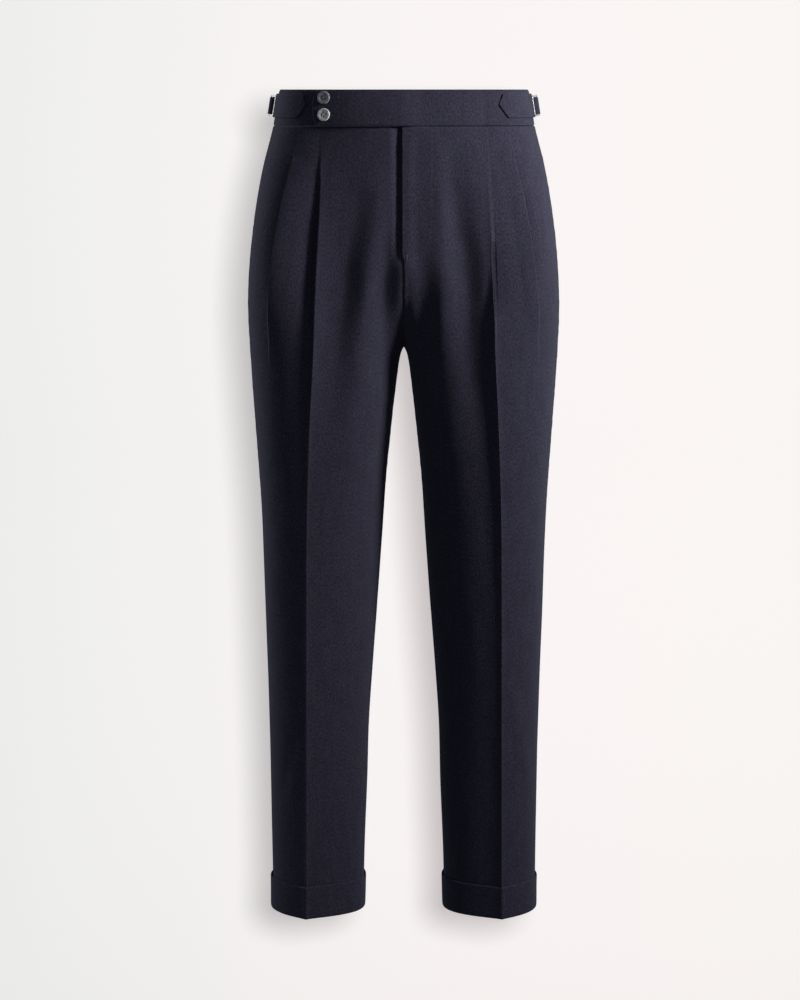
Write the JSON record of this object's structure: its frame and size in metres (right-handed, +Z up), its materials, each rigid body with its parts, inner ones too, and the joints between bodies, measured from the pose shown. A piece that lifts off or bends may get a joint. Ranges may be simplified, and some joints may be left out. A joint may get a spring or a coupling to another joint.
{
  "type": "pleated dress trousers",
  "caption": "High-waisted dress trousers, filled out and hollow, with reverse pleats, pressed creases, side adjusters, a buttoned waist tab and turned-up cuffs.",
  "frame": {"origin": "centre of the waistband ring, halfway up the band, where the wearer's waist holds the trousers", "axes": "+Z up towards the waist, -Y out of the front, +X towards the wearer's left"},
  "size_m": [0.389, 0.2466, 1.06],
  "materials": {
    "wool": "dark navy wool flannel, matt with a short nap",
    "buckle_metal": "bright nickel",
    "horn": "polished marbled grey horn"
  },
  "bodies": {
    "root": {"front_right": "wool", "front_left": "wool", "back_right": "wool", "back_left": "wool", "pocket_facing_right": "wool", "pocket_facing_left": "wool", "waistband_right": "wool", "waistband_left": "wool", "adjuster_tab_right": "wool", "adjuster_tab_left": "wool", "adjuster_strap_right": "wool", "adjuster_strap_left": "wool", "cuff_right": "wool", "cuff_left": "wool", "buckle_right": "buckle_metal", "buckle_left": "buckle_metal", "button_upper": "horn", "button_lower": "horn"}
  },
  "joints": []
}
